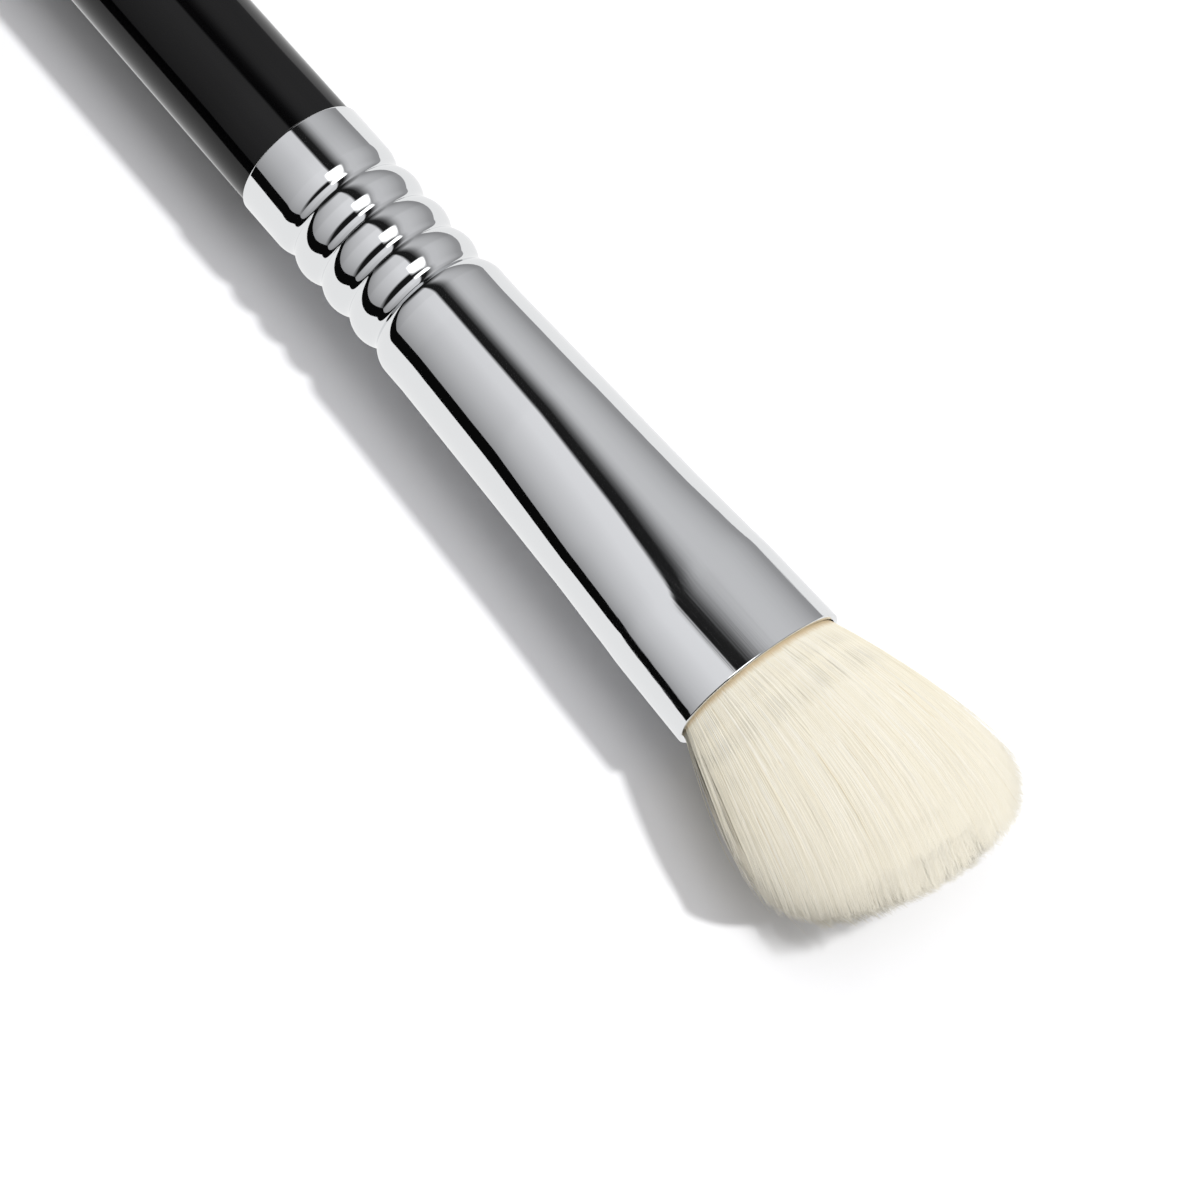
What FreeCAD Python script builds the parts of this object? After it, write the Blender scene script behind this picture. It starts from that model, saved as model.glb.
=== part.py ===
import FreeCAD, Part
import math
import operator
import os
from dataclasses import dataclass
from types import SimpleNamespace

import Sketcher

# An eyeshadow brush lying along X, bristles at +X, with the wide side of its flattened mouth along Y.
# Lengths along the brush are measured from the rear rim of the ferrule. All sizes are in millimetres.
SIZES = {
    # Handle: turned wood, with a tenon that goes into the ferrule.
    "handle_length": 122.0,
    "handle_step": 0.18,
    "shank_length": 34.0,
    "shank_drop": 0.15,
    "tail_radius": 2.3,
    "tenon_past": 2.65,
    "tenon_bevel": 0.4,
    # Ferrule: collar, rolled grooves and beads, and a tube that flares and is then pressed oval.
    "ferrule_length": 40.0,
    "ferrule_wall": 0.30,
    "edge_round": 0.12,
    "collar_dia": 8.10,
    "first_groove": 4.2,
    "groove_pitch": 2.45,
    "groove_depth": 0.30,
    "groove_radius": 0.55,
    "bead_rise": 0.05,
    "tube_rise": 0.17,
    "round_spare": 0.2,
    "flare_width": 9.1,
    "flare_height": 8.7,
    "press_run": 1.8,
    "press_width": 10.36,
    "press_height": 7.7,
    "land_length": 5.2,
    "land_width": 10.56,
    "land_height": 7.3,
    "mouth_width": 11.1,
    "mouth_height": 7.4,
    # Inside the ferrule: glue, resin and thread.
    "glue_film": 0.12,
    "fit_gap": 0.02,
    "resin_floor": 2.4,
    "resin_wrap": 2.6,
    "thread_offset": 0.4,
    "thread_width": 1.5,
    "thread_build": 0.4,
    # Tuft: gathered root, flare and domed tip.
    "bristle_gap": 0.12,
    "gather_length": 6.5,
    "tuft_length": 15.7,
    "swell_reach": 6.0,
    "swell_width": 14.6,
    "swell_height": 8.5,
    "dome_reach": 10.3,
    "dome_width": 16.6,
    "dome_height": 9.7,
}
GROOVES = 4
# How far along from the round tube to the press the tube is at its fullest height.
FLARE_SHARE = 0.4


@dataclass(frozen=True)
class Measure:
    """A length held as a number to draw with and as the expression that ties the drawing to the sheet."""

    value: float
    text: str

    def __add__(self, other):
        return combine(operator.add, "+", self, other)

    def __sub__(self, other):
        return combine(operator.sub, "-", self, other)

    def __mul__(self, other):
        return combine(operator.mul, "*", self, other)

    def __truediv__(self, other):
        return combine(operator.truediv, "/", self, other)


def combine(operation, sign, first, second):
    """The measure that an operation gives on a measure and a second one, or a plain number."""
    if not isinstance(second, Measure):
        second = Measure(second, str(second))
    return Measure(operation(first.value, second.value), f"({first.text} {sign} {second.text})")


def larger(first, second):
    """The larger of two measures."""
    return Measure(max(first.value, second.value), f"max({first.text}; {second.text})")


def smaller(first, second):
    """The smaller of two measures."""
    return Measure(min(first.value, second.value), f"min({first.text}; {second.text})")


doc = FreeCAD.newDocument("EyeshadowBrush")
sheet = doc.addObject("Spreadsheet::Sheet", "Sizes")
for row, (name, value) in enumerate(SIZES.items(), start=1):
    sheet.set(f"A{row}", name)
    sheet.set(f"B{row}", str(value))
    sheet.setAlias(f"B{row}", name)
doc.recompute()

dims = SimpleNamespace(**{name: Measure(value, f"Sizes.{name}") for name, value in SIZES.items()})
ZERO = Measure(0.0, "0")

# Radii and stations that several pieces share.
COLLAR = dims.collar_dia / 2
TUBE = COLLAR + dims.tube_rise
INSIDE = dims.ferrule_wall + dims.fit_gap
LAST_GROOVE = dims.first_groove + dims.groove_pitch * (GROOVES - 1)
TENON_END = LAST_GROOVE + dims.tenon_past
TENON = COLLAR - dims.groove_depth - INSIDE - dims.glue_film - dims.fit_gap
ROUND_END = TENON_END + dims.round_spare
LAND_START = dims.ferrule_length - dims.land_length
PRESS_START = LAND_START - dims.press_run
FLARE_END = ROUND_END + (PRESS_START - ROUND_END) * FLARE_SHARE
RESIN_START = TENON_END + dims.fit_gap
SOCKET_START = RESIN_START + dims.resin_floor
RESIN_END = SOCKET_START + dims.resin_wrap
THREAD_START = RESIN_END + dims.thread_offset
THREAD_END = THREAD_START + dims.thread_width


def opening(station, flared, pressed):
    """The smaller half size that the flare and the run to the press leave at a station before the press."""
    flaring = larger(ZERO, (station - ROUND_END) / (FLARE_END - ROUND_END))
    closing = (station - FLARE_END) / (PRESS_START - FLARE_END)
    return smaller(TUBE + (flared / 2 - TUBE) * flaring, flared / 2 + (pressed - flared) / 2 * closing)


NARROWEST = smaller(
    opening(THREAD_START, dims.flare_height, dims.press_height),
    opening(THREAD_END, dims.flare_height, dims.press_height),
)
SOCKET = NARROWEST - INSIDE - dims.thread_build
ROOT = SOCKET - dims.bristle_gap
LYING_HEIGHT = larger(dims.flare_height, dims.dome_height) / 2
MIDDLE = (dims.handle_length - dims.ferrule_length - dims.tuft_length) / 2


def new_body(label):
    """A body whose own origin is the centre of the ferrule's rear rim."""
    made = doc.addObject("PartDesign::Body", label)
    made.Label = label
    made.setExpression("Placement.Base.x", MIDDLE.text)
    made.setExpression("Placement.Base.z", LYING_HEIGHT.text)
    return made


def origin_plane(body, role):
    return next(face for face in body.Origin.OriginFeatures if face.Role == role)


def new_profile(body, name):
    """A sketch of half a turned piece, in the upright plane through the long axis."""
    drawn = body.newObject("Sketcher::SketchObject", name)
    drawn.AttachmentSupport = [(origin_plane(body, "XZ_Plane"), "")]
    drawn.MapMode = "FlatFace"
    drawn.Visibility = False
    return drawn


def new_section(body, name, station):
    """A sketch square to the long axis at a station along it."""
    drawn = body.newObject("Sketcher::SketchObject", name)
    drawn.AttachmentSupport = [(origin_plane(body, "YZ_Plane"), "")]
    drawn.MapMode = "FlatFace"
    drawn.setExpression("AttachmentOffset.Base.z", station.text)
    drawn.Visibility = False
    return drawn


def bind(sketch, measure, kind, *where):
    """Adds a dimension to the sketch and ties it to the sheet."""
    index = sketch.addConstraint(Sketcher.Constraint(kind, *where, measure.value))
    sketch.setExpression(f"Constraints[{index}]", measure.text)


def tie(sketch, kind, *where):
    """Adds a constraint that has no dimension."""
    sketch.addConstraint(Sketcher.Constraint(kind, *where))


def at(x, y):
    return FreeCAD.Vector(x, y, 0)


def line(sketch, start, end):
    return sketch.addGeometry(Part.LineSegment(at(*start), at(*end)))


def close(sketch, first, first_end, second, second_end):
    """A straight edge between an end of one curve and an end of another."""
    start = sketch.getPoint(first, first_end)
    end = sketch.getPoint(second, second_end)
    edge = line(sketch, (start.x, start.y), (end.x, end.y))
    tie(sketch, "Coincident", first, first_end, edge, 1)
    tie(sketch, "Coincident", edge, 2, second, second_end)
    return edge


def arc(sketch, centre, radius, left, right, raised=True):
    """A raised or sunken arc between its left end and its right end."""
    circle = Part.Circle(at(*centre), FreeCAD.Vector(0, 0, 1), radius)
    first, last = (right, left) if raised else (left, right)
    first_angle = math.atan2(first[1] - centre[1], first[0] - centre[0])
    last_angle = math.atan2(last[1] - centre[1], last[0] - centre[0])
    return sketch.addGeometry(Part.ArcOfCircle(circle, first_angle, last_angle))


def disc(sketch, radius):
    """A circle about the long axis."""
    ring = sketch.addGeometry(Part.Circle(at(0, 0), FreeCAD.Vector(0, 0, 1), radius.value))
    tie(sketch, "Coincident", ring, 3, -1, 1)
    bind(sketch, radius, "Radius", ring)


def oval(sketch, width, height):
    """An ellipse about the long axis, wide along Y."""
    ellipse = sketch.addGeometry(Part.Ellipse(at(width.value / 2, 0), at(0, height.value / 2), at(0, 0)))
    sketch.exposeInternalGeometry(ellipse)
    tie(sketch, "Coincident", ellipse, 3, -1, 1)
    tie(sketch, "Horizontal", ellipse + 1)
    bind(sketch, width, "Distance", ellipse + 1)
    bind(sketch, height, "Distance", ellipse + 2)


def spin(body, name, sketch):
    """Turns a profile all the way round the long axis."""
    turned = body.newObject("PartDesign::Revolution", name)
    turned.Profile = sketch
    turned.ReferenceAxis = (sketch, ["H_Axis"])
    turned.Angle = 360
    return turned


def loft(body, kind, name, sections, ruled=True):
    """Joins sections at successive stations."""
    joined = body.newObject(f"PartDesign::{kind}", name)
    joined.Profile = sections[0]
    joined.Sections = sections[1:]
    joined.Ruled = ruled
    return joined


def touching(first, radius, second):
    """The point where a circle about first meets the circle about second that touches it."""
    run = second[0] - first[0]
    rise = second[1] - first[1]
    reach = math.hypot(run, rise)
    return first[0] + run * radius / reach, first[1] + rise * radius / reach


def bead_chain(sketch, inset, end):
    """Draws half of the ferrule's collar, grooves, beads and tube as one chain of lines and touching arcs.

    The chain lies inside the ferrule's outer surface by the inset, and ends at a station of the round tube.
    Returns the chain's first and last lines.
    """
    collar = COLLAR - inset
    crest = collar + dims.bead_rise
    tube = TUBE - inset
    radius = dims.groove_radius + inset
    height = collar - dims.groove_depth + radius

    # The circles of all raised arcs are equal and touch the grooves' circles on both sides.
    pitch = dims.groove_pitch.value
    depth = dims.groove_depth.value + dims.bead_rise.value
    reach = (pitch**2 / 4 + depth**2) / (2 * depth)
    bead = reach - radius.value
    grooves = [(dims.first_groove.value + index * pitch, height.value) for index in range(GROOVES)]
    rear_run = math.sqrt(reach**2 - (height.value - collar.value + bead) ** 2)
    front_run = math.sqrt(reach**2 - (height.value - tube.value + bead) ** 2)
    raised = [(grooves[0][0] - rear_run, collar.value - bead)]
    raised += [(x + pitch / 2, crest.value - bead) for x, _ in grooves[:-1]]
    raised.append((grooves[-1][0] + front_run, tube.value - bead))
    centres = [raised[0]]
    for groove, after in zip(grooves, raised[1:]):
        centres += [groove, after]
    radii = [bead, radius.value] * GROOVES + [bead]
    joints = [(raised[0][0], collar.value)]
    joints += [touching(a, r, b) for a, r, b in zip(centres, radii, centres[1:])]
    joints.append((raised[-1][0], tube.value))

    first = line(sketch, (0, collar.value), joints[0])
    arcs = []
    for index, centre in enumerate(centres):
        arcs.append(arc(sketch, centre, radii[index], joints[index], joints[index + 1], index % 2 == 0))
    last = line(sketch, joints[-1], (end.value, tube.value))
    guide = line(sketch, (0, crest.value), (end.value, crest.value))
    sketch.setConstruction(guide, True)

    for flat in (first, last, guide):
        tie(sketch, "Horizontal", flat)
    for flat in (first, guide):
        tie(sketch, "PointOnObject", flat, 1, -2)
    for flat in (last, guide):
        bind(sketch, end, "DistanceX", -1, 1, flat, 2)
    bind(sketch, collar, "DistanceY", -1, 1, first, 1)
    bind(sketch, crest, "DistanceY", -1, 1, guide, 1)
    bind(sketch, tube, "DistanceY", -1, 1, last, 1)

    sunken = arcs[1::2]
    bind(sketch, dims.first_groove, "DistanceX", -1, 1, sunken[0], 3)
    bind(sketch, height, "DistanceY", -1, 1, sunken[0], 3)
    bind(sketch, radius, "Radius", sunken[0])
    for before, after in zip(sunken, sunken[1:]):
        bind(sketch, dims.groove_pitch, "DistanceX", before, 3, after, 3)
        tie(sketch, "Horizontal", before, 3, after, 3)
        tie(sketch, "Equal", before, after)

    tie(sketch, "Tangent", first, 2, arcs[0], 2)
    for index, (before, after) in enumerate(zip(arcs, arcs[1:])):
        meeting = 1 if index % 2 == 0 else 2
        tie(sketch, "Tangent", before, meeting, after, meeting)
    tie(sketch, "Tangent", arcs[-1], 1, last, 1)
    for crown in arcs[2:-1:2]:
        tie(sketch, "Tangent", crown, guide)
    tie(sketch, "Equal", arcs[0], arcs[2])
    tie(sketch, "Equal", arcs[-1], arcs[2])
    return first, last


def tube_sections(body, name, inset):
    """Sections of the tube from its round part to its mouth, set in from its outer surface."""
    stations = (
        (FLARE_END, dims.flare_width, dims.flare_height),
        (PRESS_START, dims.press_width, dims.press_height),
        (LAND_START, dims.land_width, dims.land_height),
        (dims.ferrule_length, dims.mouth_width, dims.mouth_height),
    )
    sections = [new_section(body, f"{name}Round", ROUND_END)]
    disc(sections[0], TUBE - inset)
    for number, (station, width, height) in enumerate(stations, start=1):
        section = new_section(body, f"{name}Oval{number}", station)
        oval(section, width - inset * 2, height - inset * 2)
        sections.append(section)
    return sections


def rim_edge(shape, station, half_height):
    """The name of the edge that goes round the shape at a station, with a given half height."""
    for number, edge in enumerate(shape.Edges, start=1):
        box = edge.BoundBox
        flat = abs(box.XMin - station) < 1e-4 and abs(box.XMax - station) < 1e-4
        if flat and abs(box.ZMax - half_height) < 1e-3:
            return f"Edge{number}"
    raise RuntimeError(f"no rim at {station}")


def build_ferrule():
    """The plated tube: collar, rolled beads, and a round tube that flares and is pressed oval towards its mouth."""
    body = new_body("ferrule")
    profile = new_profile(body, "RolledWall")
    outer = bead_chain(profile, ZERO, ROUND_END)
    inner = bead_chain(profile, dims.ferrule_wall, ROUND_END)
    close(profile, outer[0], 1, inner[0], 1)
    close(profile, outer[1], 2, inner[1], 2)
    spin(body, "RolledTube", profile)
    loft(body, "AdditiveLoft", "PressedTube", tube_sections(body, "Outer", ZERO))
    bored = loft(body, "SubtractiveLoft", "PressedBore", tube_sections(body, "Inner", dims.ferrule_wall))
    doc.recompute()
    rear = rim_edge(bored.Shape, 0, COLLAR.value)
    mouth = rim_edge(bored.Shape, dims.ferrule_length.value, dims.mouth_height.value / 2)
    rounded = body.newObject("PartDesign::Fillet", "RoundedRims")
    rounded.Base = (bored, [rear, mouth])
    rounded.setExpression("Radius", dims.edge_round.text)
    return body


def bow_circle(start, slope_end, centre, radius):
    """The circle that runs on from a straight side and has a smaller circle touching it from inside.

    Args: the side's two ends, the second being where the bow starts, and the smaller circle.
    Returns: the bow's centre and radius.
    """
    run = slope_end[0] - start[0]
    rise = slope_end[1] - start[1]
    length = math.hypot(run, rise)
    outward = (rise / length, -run / length)
    gap = (slope_end[0] - centre[0], slope_end[1] - centre[1])
    lift = gap[0] * outward[0] + gap[1] * outward[1]
    bow = (gap[0] ** 2 + gap[1] ** 2 - radius**2) / (2 * (lift - radius))
    return (slope_end[0] - bow * outward[0], slope_end[1] - bow * outward[1]), bow


def build_handle():
    """The turned handle: a round tail, a long bow, a shank of nearly the collar's size, and the tenon."""
    body = new_body("handle")
    profile = new_profile(body, "TurnedOutline")
    joint = COLLAR - dims.handle_step
    neck = joint - dims.shank_drop
    tail = dims.tail_radius.value
    shoulder_x = -dims.fit_gap.value
    tail_centre = (tail - dims.handle_length.value, 0)
    shank_rear = (-dims.shank_length.value, neck.value)
    shank_front = (shoulder_x, joint.value)
    bow_centre, bow_radius = bow_circle(shank_front, shank_rear, tail_centre, tail)
    bow_rear = touching(bow_centre, bow_radius, tail_centre)
    bevel_rear = (TENON_END.value - dims.tenon_bevel.value, TENON.value)
    bevel_front = (TENON_END.value, TENON.value - dims.tenon_bevel.value)

    shank = line(profile, shank_front, shank_rear)
    bow = arc(profile, bow_centre, bow_radius, bow_rear, shank_rear)
    tail_end = (-dims.handle_length.value, 0)
    end = arc(profile, tail_centre, tail, tail_end, bow_rear)
    shoulder = line(profile, (shoulder_x, TENON.value), shank_front)
    tenon = line(profile, (shoulder_x, TENON.value), bevel_rear)
    bevel = line(profile, bevel_rear, bevel_front)
    front = line(profile, bevel_front, (TENON_END.value, 0))
    close(profile, front, 2, end, 2)

    tie(profile, "Tangent", shank, 2, bow, 1)
    tie(profile, "Tangent", bow, 2, end, 1)
    tie(profile, "Coincident", shoulder, 2, shank, 1)
    tie(profile, "Coincident", shoulder, 1, tenon, 1)
    tie(profile, "Coincident", tenon, 2, bevel, 1)
    tie(profile, "Coincident", bevel, 2, front, 1)
    for upright in (shoulder, front):
        tie(profile, "Vertical", upright)
    tie(profile, "Horizontal", tenon)
    for point in ((front, 2), (end, 2), (end, 3)):
        tie(profile, "PointOnObject", *point, -1)

    bind(profile, dims.fit_gap, "DistanceX", shoulder, 1, -1, 1)
    bind(profile, joint, "DistanceY", -1, 1, shank, 1)
    bind(profile, neck, "DistanceY", -1, 1, shank, 2)
    bind(profile, dims.shank_length, "DistanceX", shank, 2, -1, 1)
    bind(profile, dims.tail_radius, "Radius", end)
    bind(profile, dims.handle_length, "DistanceX", end, 2, -1, 1)
    bind(profile, TENON, "DistanceY", -1, 1, tenon, 1)
    bind(profile, TENON_END, "DistanceX", -1, 1, front, 2)
    bind(profile, dims.tenon_bevel, "DistanceX", bevel, 1, bevel, 2)
    bind(profile, dims.tenon_bevel, "DistanceY", bevel, 2, bevel, 1)
    spin(body, "TurnedHandle", profile)
    return body


def build_handle_adhesive():
    """The cured glue that fills the beads from inside, round the tenon."""
    body = new_body("handle_adhesive")
    profile = new_profile(body, "GlueWall")
    outer = bead_chain(profile, INSIDE, TENON_END)
    radius = TENON + dims.fit_gap
    inner = line(profile, (0, radius.value), (TENON_END.value, radius.value))
    tie(profile, "Horizontal", inner)
    bind(profile, radius, "DistanceY", -1, 1, inner, 1)
    for end, edge in ((1, outer[0]), (2, outer[1])):
        tie(profile, "Vertical", close(profile, edge, end, inner, end))
    spin(body, "Glue", profile)
    return body


def build_root_plug():
    """The cast resin behind and around the butts of the bristles."""
    body = new_body("root_plug")
    back = new_section(body, "PlugBack", RESIN_START)
    disc(back, TUBE - INSIDE)
    front = new_section(body, "PlugFront", RESIN_END)
    half_width = opening(RESIN_END, dims.flare_width, dims.press_width) - INSIDE
    half_height = opening(RESIN_END, dims.flare_height, dims.press_height) - INSIDE
    oval(front, half_width * 2, half_height * 2)
    loft(body, "AdditiveLoft", "Plug", [back, front])
    floor = new_section(body, "SocketFloor", SOCKET_START)
    disc(floor, SOCKET)
    socket = body.newObject("PartDesign::Pocket", "Socket")
    socket.Profile = floor
    socket.Type = "ThroughAll"
    socket.Reversed = True
    return body


def build_binding_thread():
    """The thread wound round the butts, as a closed band with a rounded back."""
    body = new_body("binding_thread")
    profile = new_profile(body, "BandSection")
    radius = (dims.thread_width * dims.thread_width / 4 + dims.thread_build * dims.thread_build) / (
        dims.thread_build * 2
    )
    rear = (THREAD_START.value, SOCKET.value)
    front = (THREAD_END.value, SOCKET.value)
    middle = ((rear[0] + front[0]) / 2, SOCKET.value + dims.thread_build.value - radius.value)
    inner = line(profile, rear, front)
    back = arc(profile, middle, radius.value, rear, front)
    tie(profile, "Coincident", back, 1, inner, 2)
    tie(profile, "Coincident", back, 2, inner, 1)
    tie(profile, "Horizontal", inner)
    bind(profile, SOCKET, "DistanceY", -1, 1, inner, 1)
    bind(profile, THREAD_START, "DistanceX", -1, 1, inner, 1)
    bind(profile, THREAD_END, "DistanceX", -1, 1, inner, 2)
    bind(profile, radius, "Radius", back)
    spin(body, "Band", profile)
    return body


def build_bristle_tuft():
    """The bundle of bristles: a gathered root inside the ferrule, a flare from the mouth, and a domed tip."""
    body = new_body("bristle_tuft")
    butts = new_section(body, "Butts", SOCKET_START + dims.bristle_gap)
    disc(butts, ROOT)
    gathered = body.newObject("PartDesign::Pad", "GatheredRoot")
    gathered.Profile = butts
    gathered.setExpression("Length", dims.gather_length.text)

    release = new_section(body, "Release", SOCKET_START + dims.bristle_gap + dims.gather_length)
    disc(release, ROOT)
    spare = (dims.ferrule_wall + dims.bristle_gap) * 2
    land = new_section(body, "LandFill", LAND_START)
    oval(land, dims.land_width - spare, dims.land_height - spare)
    mouth = new_section(body, "MouthFill", dims.ferrule_length)
    oval(mouth, dims.mouth_width - spare, dims.mouth_height - spare)
    loft(body, "AdditiveLoft", "Fan", [release, land, mouth])

    swell = new_section(body, "Swell", dims.ferrule_length + dims.swell_reach)
    oval(swell, dims.swell_width, dims.swell_height)
    shoulder = new_section(body, "DomeStart", dims.ferrule_length + dims.dome_reach)
    oval(shoulder, dims.dome_width, dims.dome_height)
    loft(body, "AdditiveLoft", "Flare", [mouth, swell, shoulder], ruled=False)

    dome = body.newObject("PartDesign::AdditiveEllipsoid", "Dome")
    dome.AttachmentSupport = [(origin_plane(body, "YZ_Plane"), "")]
    dome.MapMode = "FlatFace"
    dome.setExpression("AttachmentOffset.Base.z", (dims.ferrule_length + dims.dome_reach).text)
    dome.setExpression("Radius1", (dims.tuft_length - dims.dome_reach).text)
    dome.setExpression("Radius2", (dims.dome_width / 2).text)
    dome.setExpression("Radius3", (dims.dome_height / 2).text)
    dome.Angle1 = 0
    dome.Angle2 = 90
    return body


BUILDERS = (
    build_handle,
    build_ferrule,
    build_handle_adhesive,
    build_root_plug,
    build_binding_thread,
    build_bristle_tuft,
)


def main():
    """Builds every piece, checks it, and writes it to its own file."""
    bodies = [build() for build in BUILDERS]
    doc.recompute()
    for item in doc.Objects:
        if "Invalid" in item.State or "Error" in item.State:
            raise RuntimeError(f"{item.Label}: {item.State}")
    for body in bodies:
        shape = body.Shape
        if shape.isNull() or not shape.isValid() or len(shape.Solids) != 1:
            raise RuntimeError(f"{body.Label}: not one valid solid")
    os.makedirs("parts", exist_ok=True)
    for body in bodies:
        body.Shape.exportStep(f"parts/{body.Label}.step")
        print(f"{body.Label}: {body.Shape.Volume:.1f} mm3")


main()
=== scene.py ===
import bisect
import logging
import math
import random
from dataclasses import dataclass, field
from enum import Enum

import bmesh
import bpy
import numpy as np
from mathutils import Matrix, Vector


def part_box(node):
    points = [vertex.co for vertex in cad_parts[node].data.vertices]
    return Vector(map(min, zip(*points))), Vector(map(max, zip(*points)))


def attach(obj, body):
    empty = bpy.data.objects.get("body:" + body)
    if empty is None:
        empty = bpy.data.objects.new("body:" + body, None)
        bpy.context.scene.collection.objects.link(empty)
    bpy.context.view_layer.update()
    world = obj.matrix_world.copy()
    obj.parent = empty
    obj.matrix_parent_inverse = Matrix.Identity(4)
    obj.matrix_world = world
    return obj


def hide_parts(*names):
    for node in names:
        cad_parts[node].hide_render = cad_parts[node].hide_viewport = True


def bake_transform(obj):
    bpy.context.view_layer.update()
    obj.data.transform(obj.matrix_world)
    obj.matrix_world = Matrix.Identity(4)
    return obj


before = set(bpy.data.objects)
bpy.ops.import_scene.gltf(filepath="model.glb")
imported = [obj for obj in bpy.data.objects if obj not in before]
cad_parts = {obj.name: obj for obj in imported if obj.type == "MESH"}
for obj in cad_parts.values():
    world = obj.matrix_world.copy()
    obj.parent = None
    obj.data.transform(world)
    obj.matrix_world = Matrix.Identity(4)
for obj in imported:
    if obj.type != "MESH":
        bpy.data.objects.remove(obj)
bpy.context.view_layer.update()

LOG = logging.getLogger("eyeshadow_brush")
MM = 0.001
TINY = 1e-9
GOLDEN_SHARE = 0.6180339887
SEED_STRIDE = 100003
NOISE_MIDDLE = (0.3, 0.7)

Colour = tuple[float, float, float]


class Body(Enum):
    """The two moving bodies of the brush; pieces are attached to the grip only, and the tuft is not made to
    bend.
    """

    GRIP = "grip"
    TUFT = "tuft"


class Slot(Enum):
    """Material slot names for the pieces that are made here; no piece is given one."""

    LACQUER = "lacquered_wood"
    PLATING = "plated_tube"
    BRISTLES = "bristles"


@dataclass(frozen=True)
class BrushAxis:
    """The long axis of the brush in the shared frame, in metres."""

    rear: float
    height: float

    @classmethod
    def from_frame(cls) -> "BrushAxis":
        """Finds the axis from the ferrule's rear rim and the middle of its height."""
        low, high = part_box("ferrule")
        return cls(low.x, (low.z + high.z) / 2)

    def point(self, x: float, y: float = 0.0, z: float = 0.0) -> Vector:
        """A point given in millimetres from the centre of the ferrule's rear rim.

        Args:
            x: distance along the brush towards the bristles.
            y: distance along the wide side of the mouth.
            z: height above the axis.

        Returns:
            The point in the shared frame, in metres.
        """
        return Vector((self.rear + x * MM, y * MM, self.height + z * MM))


class Shading:
    """A node tree under construction, with short ways to add and join its nodes."""

    def __init__(self, tree: bpy.types.NodeTree) -> None:
        """Starts on a tree that is already there."""
        self.tree = tree

    def add(self, kind: str, **settings: object) -> bpy.types.Node:
        """Adds a node and sets its properties.

        Args:
            kind: the node's type name.
            settings: properties of the node.

        Returns:
            The new node.
        """
        node = self.tree.nodes.new(kind)
        for name, value in settings.items():
            setattr(node, name, value)
        return node

    def join(self, source: bpy.types.NodeSocket, target: bpy.types.NodeSocket) -> None:
        """Links an output to an input."""
        self.tree.links.new(source, target)

    def feed(self, target: bpy.types.NodeSocket, value: object) -> None:
        """Links a socket to an input, or sets the input to a plain value."""
        if isinstance(value, bpy.types.NodeSocket):
            self.join(value, target)
        else:
            target.default_value = value

    def math(self, operation: str, first: object, second: object = 0.0) -> bpy.types.NodeSocket:
        """Adds one sum.

        Args:
            operation: the name of the operation.
            first: a socket or a number.
            second: a socket or a number.

        Returns:
            The socket with the result.
        """
        node = self.add("ShaderNodeMath", operation=operation)
        self.feed(node.inputs[0], first)
        self.feed(node.inputs[1], second)
        return node.outputs[0]

    def spread(
        self, value: object, start: float, end: float, low: float, high: float
    ) -> bpy.types.NodeSocket:
        """Carries a value from one range to another, held at the ends.

        Args:
            value: the socket to carry over.
            start: the value that gives low.
            end: the value that gives high.
            low: the result at start.
            high: the result at end.

        Returns:
            The socket with the result.
        """
        node = self.add("ShaderNodeMapRange", clamp=True)
        for socket, given in zip(node.inputs, (value, start, end, low, high)):
            self.feed(socket, given)
        return node.outputs["Result"]

    def ramp(self, value: object, stops: list[tuple[float, Colour]]) -> bpy.types.NodeSocket:
        """Turns a value into a colour by stops.

        Args:
            value: the socket that picks the colour.
            stops: places from 0 to 1, each with its colour.

        Returns:
            The colour socket.
        """
        node = self.add("ShaderNodeValToRGB")
        node.color_ramp.interpolation = "LINEAR"
        elements = node.color_ramp.elements
        while len(elements) < len(stops):
            elements.new(0.5)
        for element, (place, colour) in zip(elements, stops):
            element.position = place
            element.color = (*colour, 1.0)
        self.feed(node.inputs["Fac"], value)
        return node.outputs["Color"]

    def mix(self, share: object, first: object, second: object) -> bpy.types.NodeSocket:
        """Mixes two colours.

        Args:
            share: how much of the second colour shows, from 0 to 1.
            first: a colour or colour socket.
            second: a colour or colour socket.

        Returns:
            The mixed colour socket.
        """
        node = self.add("ShaderNodeMix", data_type="RGBA")
        self.feed(node.inputs["Factor"], share)
        for name, colour in (("A", first), ("B", second)):
            socket = next(s for s in node.inputs if s.name == name and s.type == "RGBA")
            self.feed(socket, colour if isinstance(colour, bpy.types.NodeSocket) else (*colour, 1.0))
        return next(s for s in node.outputs if s.type == "RGBA")

    def noise(self, vector: object, scale: float, detail: float = 2.0) -> bpy.types.NodeSocket:
        """Adds a noise pattern.

        Args:
            vector: the coordinates that it reads.
            scale: features per metre.
            detail: how many finer layers it has.

        Returns:
            The socket with the pattern's value.
        """
        node = self.add("ShaderNodeTexNoise")
        self.feed(node.inputs["Vector"], vector)
        node.inputs["Scale"].default_value = scale
        node.inputs["Detail"].default_value = detail
        return node.outputs["Fac"]


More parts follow.
